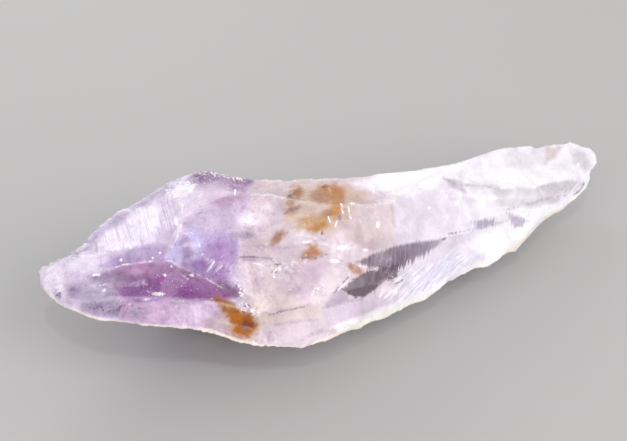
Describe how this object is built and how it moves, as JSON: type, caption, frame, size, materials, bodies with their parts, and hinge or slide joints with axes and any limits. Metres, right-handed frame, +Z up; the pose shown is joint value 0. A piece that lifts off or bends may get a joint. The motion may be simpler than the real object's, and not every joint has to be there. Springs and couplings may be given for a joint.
{
  "type": "amethyst crystal",
  "caption": "Long rough amethyst splinter with broken faces, blunt raised tips and a flat belly to rest on, purple at one end and milky white at the other.",
  "frame": {"origin": "on the resting surface, below the middle of the crystal's box", "axes": "+X along the crystal from its purple end to its white end, +Y to its far side, +Z up from the resting surface"},
  "size_m": [0.0516, 0.0168, 0.0122],
  "materials": {
    "amethyst": "rough-broken, glassy, milky in places"
  },
  "bodies": {
    "root": {"amethyst_crystal": "amethyst"}
  },
  "joints": []
}
